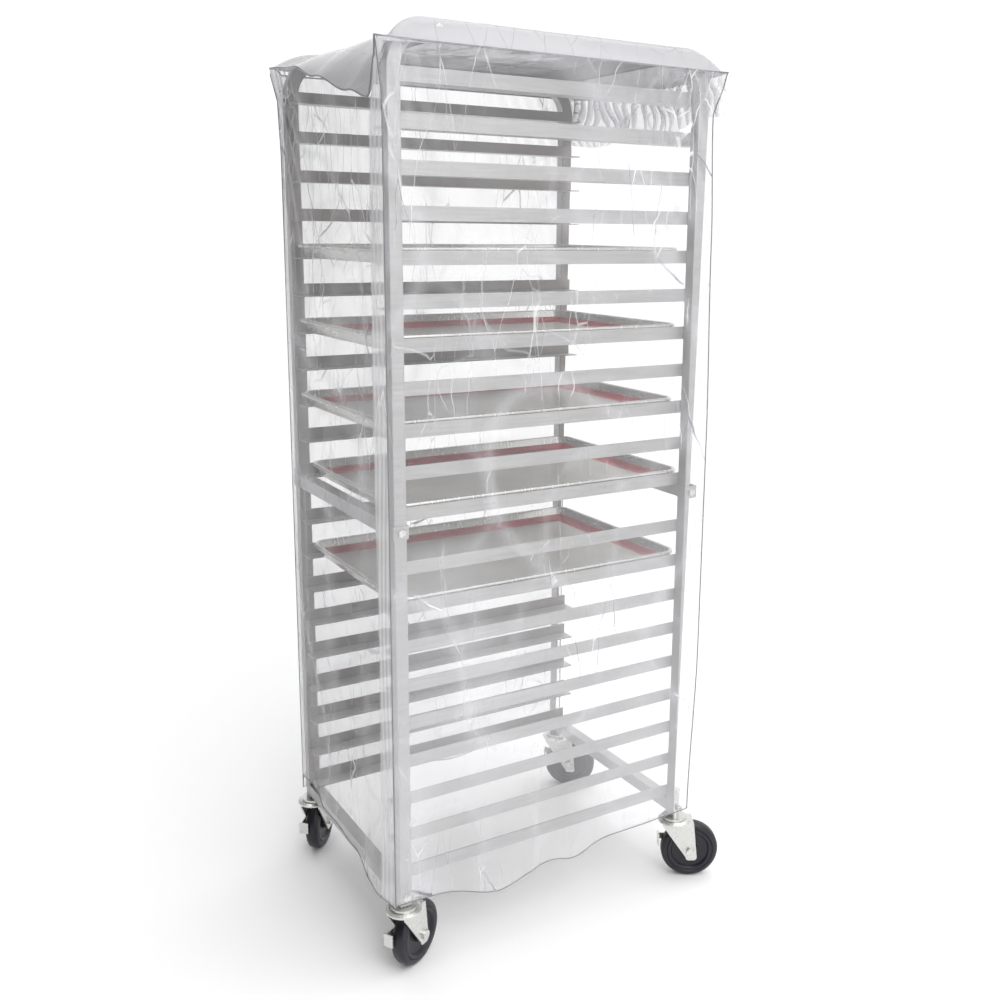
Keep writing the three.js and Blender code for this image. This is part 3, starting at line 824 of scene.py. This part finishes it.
def make_front_panel(sizes, material, edging):
    bm = panel_grid(110, 170)
    fold = bm.verts.layers.float.new("fold")
    glare = bm.verts.layers.float.new("glare")
    hem = []
    for vert in bm.verts:
        u, v = vert.co.x, vert.co.y
        guess = 0.54 * (u - 0.5)
        low = sizes.hem_height + front_hem(guess)
        high = sizes.seam_height + front_seam(guess)
        z = low + (high - low) * v
        left, right = corner_at("left", "front", z), corner_at("right", "front", z)
        x = left[0] + (right[0] - left[0]) * u
        y = left[1] + (right[1] - left[1]) * u
        loose = math.sin(math.pi * u) ** 0.4 * (1 - smoothstep(0.96, 1.0, v)) * (1.2 - 0.4 * v)
        wave = soft_waves(x * 1.25, z, 9.1) * sizes.fold_depth * 1.9 * loose
        crease = creases(Vector((x, -3, z)), 9.1)
        left_pull = bump(math.hypot(x + 0.27, (z - 1.72) * 0.35), 0, 0.13)
        fan = math.sin(math.atan2(1.74 - z, x + 0.29) * 34) * 0.006 * left_pull * loose
        y -= wave + crease * sizes.crease_depth * loose + fan + 0.003 * loose
        y = min(y, -HALF_Y - FRONT_REST)
        vert.co = MIDDLE + Vector((x, y, z))
        # Painted shade: the fold value darkens the film towards the shade colour at creases and in the fan of
        # folds at the left corner.
        vert[fold] = min(1.0, 0.4 * crease + 0.75 * left_pull * abs(math.sin(x * 120 + z * 14)))
        # Painted reflection: the glare value paints a white veil where the film doubles over itself beside the
        # right-hand post, in bands where it hangs slack at the left, and in faint patches.
        shine = 0.75 + 0.25 * math.sin(x * 900 + 3 * math.sin(z * 7))
        doubled = smoothstep(0.216, 0.228, x) * shine
        slack = 0.5 * smoothstep(-0.20, -0.26, x) * abs(math.sin(x * 260 + 5 * math.sin(z * 3)))
        patch = 0.5 + 0.5 * noise.noise(Vector((x * 6, z * 2.5, 9.1)))
        vert[glare] = min(1.0, 0.62 * doubled + 0.8 * slack + 0.08 * patch)
        if v < 1e-4:
            hem.append((u, vert.co.copy()))
    hem_cord("cover_hem_front", hem, edging)
    obj = piece("cover_front_panel", bm, material, "cover", 180)
    thicken(obj, sizes.thickness)
    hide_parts("cover_front")
    return obj


def top_height(x, y, seam):
    """The top panel's height: flat over the hoops, falling to the seam on every side."""
    crest = TOP_Z + 0.0022
    over_hoop = smoothstep(0.205, 0.245, abs(x))
    sag = 0.006 * (1 - over_hoop) * (1 - smoothstep(0.20, 0.27, abs(y)) * 0.6) * (1 - (x / 0.24) ** 2)
    flat_end = 0.262
    t = min(max((abs(y) - flat_end) / (HALF_DEPTH - flat_end), 0.0), 1.0)
    power = 1.35 + 1.5 * over_hoop
    end_drop = (crest - seam) * t**power
    edge = min(max((abs(x) - 0.2585) / 0.018, 0.0), 1.0)
    side_drop = (crest - seam) * edge**0.9
    return crest - sag - max(end_drop, side_drop)


def make_top_panel(sizes, material):
    bm = panel_grid(120, 130)
    fold = bm.verts.layers.float.new("fold")
    for vert in bm.verts:
        # The unit grid is pulled so that its outermost rings of faces make the drops at the edges.
        a, b = 2 * vert.co.x - 1, 2 * vert.co.y - 1
        side = "right" if a > 0 else "left"
        end = "rear" if b > 0 else "front"
        seam = sizes.seam_height
        ear_x, ear_y = corner_at(side, end, seam + EAR_RISE)
        near_x = EDGE_X + (abs(ear_x) - EDGE_X) * abs(b) ** 9
        near_y = EDGE_Y + (abs(ear_y) - EDGE_Y) * abs(a) ** 9
        x = math.copysign(near_x * (1 - (1 - abs(a)) ** 1.35), a)
        y = math.copysign(near_y * (1 - (1 - abs(b)) ** 1.35), b)
        if b < 0:
            seam += front_seam(x) * abs(b) ** 2
        elif b > 0:
            seam -= 0.010 * (1 - abs(a) ** 4) * b**2
        z = top_height(x, y, seam)
        loose = (1 - abs(a) ** 6) * (1 - abs(b) ** 8)
        z += 0.0016 * loose * noise.noise(Vector((x * 9, y * 7, 2.0)))
        z += 0.0012 * creases(Vector((x, y, 7)), 4.4) * loose
        vert.co = MIDDLE + Vector((x, y, z))
        vert[fold] = 0.25 * creases(Vector((x, y, 7)), 4.4) * loose
    obj = piece("cover_top_panel", bm, material, "cover", 180)
    thicken(obj, sizes.thickness)
    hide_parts("cover_top")
    return obj


def make_gathered_door(sizes, material):
    """The rear door, bunched up under the top seam in deep narrow folds."""
    bm = panel_grid(220, 26)
    fold = bm.verts.layers.float.new("fold")
    for vert in bm.verts:
        u, v = vert.co.x, vert.co.y
        x = DOOR_HALF * (2 * u - 1)
        drop = 0.088 + 0.03 * bump(x, -0.12, 0.09) + 0.012 * math.sin(x * 19)
        z = sizes.seam_height - 0.004 - drop * (1 - v)
        depth = 0.005 + 0.009 * math.sin(math.pi * min(1.0, 0.15 + 0.85 * (1 - v)))
        phase = x * 215 + 9 * noise.noise(Vector((x * 11, v * 1.8, 1.0)))
        y = HALF_Y + DOOR_STANDOFF + depth * math.sin(phase) + 0.004 * (1 - v)
        x_folded = x + 0.003 * math.cos(phase) * (1 - v)
        vert.co = MIDDLE + Vector((x_folded, max(y, HALF_Y + 0.004), z))
        # Painted shade: the fold value darkens the side of each fold that lies in towards the rack, more
        # strongly near the top.
        vert[fold] = min(1.0, 0.25 + 0.75 * max(0.0, -math.sin(phase)) * (0.4 + 0.6 * v))
    obj = piece("cover_door_bunched", bm, material, "cover", 180)
    thicken(obj, sizes.thickness)
    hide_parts("cover_door_gathered")
    return obj


def seam_path(name, points, radius, material):
    """A sewn edge: a thin round cord of vinyl along a list of points."""
    curve = bpy.data.curves.new(name, "CURVE")
    curve.dimensions = "3D"
    curve.bevel_depth = radius
    curve.bevel_resolution = 2
    spline = curve.splines.new("POLY")
    spline.points.add(len(points) - 1)
    for point, place in zip(spline.points, points):
        point.co = (*place, 1.0)
    curve.use_fill_caps = True
    curve.materials.append(material)
    obj = bpy.data.objects.new(name, curve)
    bpy.context.scene.collection.objects.link(obj)
    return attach(obj, "cover")


def hem_cord(name, hem, material):
    """A cord along a panel's hem, through its (u, point) pairs in order."""
    seam_path(name, [point for _, point in sorted(hem, key=lambda at: at[0])], HEM_CORD, material)


def make_seams(sizes, material):
    seam = sizes.seam_height
    ear = seam + EAR_RISE
    steps = [step / 60 for step in range(61)]
    for side in ("left", "right"):
        front, rear = corner_at(side, "front", ear), corner_at(side, "rear", ear)
        sign = 1 if side == "right" else -1
        points = []
        for t in steps:
            y = front[1] + (rear[1] - front[1]) * t
            pull = abs(2 * t - 1) ** 9
            x = sign * (EDGE_X + (abs(front[0] if t < 0.5 else rear[0]) - EDGE_X) * pull)
            z = seam + (front_seam(sign * 0.285) if t < 0.03 else 0)
            points.append(MIDDLE + Vector((x, y, z)))
        seam_path(f"cover_piping_{side}", points, sizes.piping, material)
        for end in ("front", "rear"):
            heights = [sizes.hem_height + (seam - sizes.hem_height) * t for t in steps]
            corner = [MIDDLE + Vector((*corner_at(side, end, z), z)) for z in heights]
            seam_path(f"cover_corner_seam_{end}_{side}", corner, sizes.piping * 0.7, material)
    left, right = corner_at("left", "front", ear), corner_at("right", "front", ear)
    points = []
    for t in steps:
        x = left[0] + (right[0] - left[0]) * t
        pull = abs(2 * t - 1) ** 9
        y = -(EDGE_Y + (abs(left[1] if t < 0.5 else right[1]) - EDGE_Y) * pull)
        points.append(MIDDLE + Vector((x, y, seam + front_seam(x))))
    seam_path("cover_piping_front", points, sizes.piping, material)


class RACK_OT_cover(bpy.types.Operator):
    """Hang the sewn vinyl cover: top, front, sides, bunched door and piping"""

    bl_idname = "rack.cover"
    bl_label = "Vinyl cover"

    def execute(self, context):
        colours, sizes = context.scene.rack_colours, context.scene.rack_cover
        clear = bpy.data.materials["clear_vinyl"]
        bunched = vinyl("bunched_vinyl", colours.vinyl, "#77737A", 0.12)
        white = vinyl("white_vinyl", colours.top, "#8F8E92", 0.74, 0.0)
        piping = vinyl("piping_vinyl", "#7E7C81", "#6F6D73", 0.9, 0.0)
        make_top_panel(sizes, white)
        make_front_panel(sizes, clear, piping)
        for side in ("left", "right"):
            make_side_panel(side, sizes, clear, piping)
        make_gathered_door(sizes, bunched)
        make_seams(sizes, piping)
        return {"FINISHED"}


# ---- Studio ----
def add_light(name, kind, place, aim, power, spread):
    """A soft light: spread is the sides of an area light, or the angle of a sun."""
    light = bpy.data.lights.new(name, kind)
    light.energy = power
    if kind == "SUN":
        light.angle = spread
    else:
        light.shape = "RECTANGLE"
        light.size, light.size_y = spread
    obj = bpy.data.objects.new(name, light)
    obj.location = place
    obj.rotation_euler = (Vector(aim) - Vector(place)).to_track_quat("-Z", "Y").to_euler()
    bpy.context.scene.collection.objects.link(obj)
    return obj


class RACK_OT_studio(bpy.types.Operator):
    """Set up the pale floor, the soft lights and the camera"""

    bl_idname = "rack.studio"
    bl_label = "Studio"

    def execute(self, context):
        studio = context.scene.rack_studio
        bm = bmesh.new()
        bmesh.ops.create_grid(bm, x_segments=1, y_segments=1, size=studio.floor / 2)
        mesh = bpy.data.meshes.new("floor")
        bm.to_mesh(mesh)
        bm.free()
        floor_finish, tree, shader, place = start_material("studio_floor")
        # Matt white studio paper: no visible grain at this distance, only a trace of unevenness.
        mottle = add_node(tree, "ShaderNodeTexNoise", values={"Scale": 0.6}, links={"Vector": place})
        colour = ramp(tree, mottle, [(0.3, "#F7F7F7"), (0.7, "#F9F9F9")])
        tree.links.new(colour.outputs[0], shader.inputs["Base Color"])
        shader.inputs["Roughness"].default_value = 0.9
        mesh.materials.append(floor_finish)
        floor = bpy.data.objects.new("floor", mesh)
        context.scene.collection.objects.link(floor)

        # White behind and around, greyer from the -Y side, so that faces turned that way go darker.
        world = bpy.data.worlds.new("studio")
        world.use_nodes = True
        sky = world.node_tree
        aim = add_node(sky, "ShaderNodeTexCoord")
        way = add_node(sky, "ShaderNodeSeparateXYZ", links={"Vector": (aim, "Generated")})
        across = add_node(
            sky, "ShaderNodeMapRange", values={"From Min": -0.45, "From Max": 0.05}, links={"Value": (way, "Y")}
        )
        tone = ramp(sky, across, [(0.0, "#5A5A5C"), (1.0, "#FFFFFF")])
        backdrop = sky.nodes["Background"]
        sky.links.new(tone.outputs[0], backdrop.inputs["Color"])
        backdrop.inputs["Strength"].default_value = 1.05
        context.scene.world = world
        centre = MIDDLE + Vector((0, 0, 0.9))
        add_light("key", "AREA", centre + Vector((3.0, -0.4, 1.5)), centre, 45, (2.2, 2.2))
        add_light("overhead", "SUN", centre + Vector((0.5, 0.3, 3.0)), centre, 1.3, math.radians(70))

        camera_data = bpy.data.cameras.new("camera")
        camera_data.lens = studio.lens
        camera_data.sensor_width = 36.0
        camera_data.shift_x, camera_data.shift_y = studio.shift
        camera_data.clip_end = 100
        camera = bpy.data.objects.new("camera", camera_data)
        heading, dip, roll = studio.heading, studio.dip, studio.roll
        forward = Vector(
            (-math.sin(heading) * math.cos(dip), math.cos(heading) * math.cos(dip), -math.sin(dip))
        )
        right = Vector((math.cos(heading), math.sin(heading), 0))
        up = right.cross(forward)
        rolled_right = math.cos(roll) * right + math.sin(roll) * up
        rolled_up = -math.sin(roll) * right + math.cos(roll) * up
        turn = Matrix((rolled_right, rolled_up, -forward)).transposed().to_4x4()
        camera.matrix_world = Matrix.Translation(MIDDLE + Vector(studio.camera_place)) @ turn
        context.scene.collection.objects.link(camera)
        context.scene.camera = camera
        context.scene.view_settings.view_transform = "Standard"
        return {"FINISHED"}


# ---- Panel and registration ----
OPERATORS = (
    RACK_OT_finishes,
    RACK_OT_pans,
    RACK_OT_mats,
    RACK_OT_wheels,
    RACK_OT_cover,
    RACK_OT_studio,
)
GROUPS = {
    "rack_colours": FinishColours,
    "rack_pans": PanSizes,
    "rack_cover": CoverSizes,
    "rack_studio": StudioSizes,
}


class RACK_PT_panel(bpy.types.Panel):
    """Lists the steps that build the rack"""

    bl_label = "Sheet pan rack"
    bl_idname = "RACK_PT_panel"
    bl_space_type = "VIEW_3D"
    bl_region_type = "UI"
    bl_category = "Rack"

    def draw(self, context):
        for name, group in GROUPS.items():
            box = self.layout.box()
            for key in group.__annotations__:
                box.prop(getattr(context.scene, name), key)
        for operator in OPERATORS:
            self.layout.operator(operator.bl_idname)


def register():
    for made in (*GROUPS.values(), *OPERATORS, RACK_PT_panel):
        bpy.utils.register_class(made)
    for name, group in GROUPS.items():
        setattr(bpy.types.Scene, name, bpy.props.PointerProperty(type=group))


def unregister():
    for name in GROUPS:
        delattr(bpy.types.Scene, name)
    for made in (RACK_PT_panel, *reversed(OPERATORS), *reversed(list(GROUPS.values()))):
        bpy.utils.unregister_class(made)


def main():
    register()
    bpy.ops.rack.finishes()
    bpy.ops.rack.pans()
    bpy.ops.rack.mats()
    bpy.ops.rack.wheels()
    bpy.ops.rack.cover()
    bpy.ops.rack.studio()


if __name__ == "__main__":
    main()
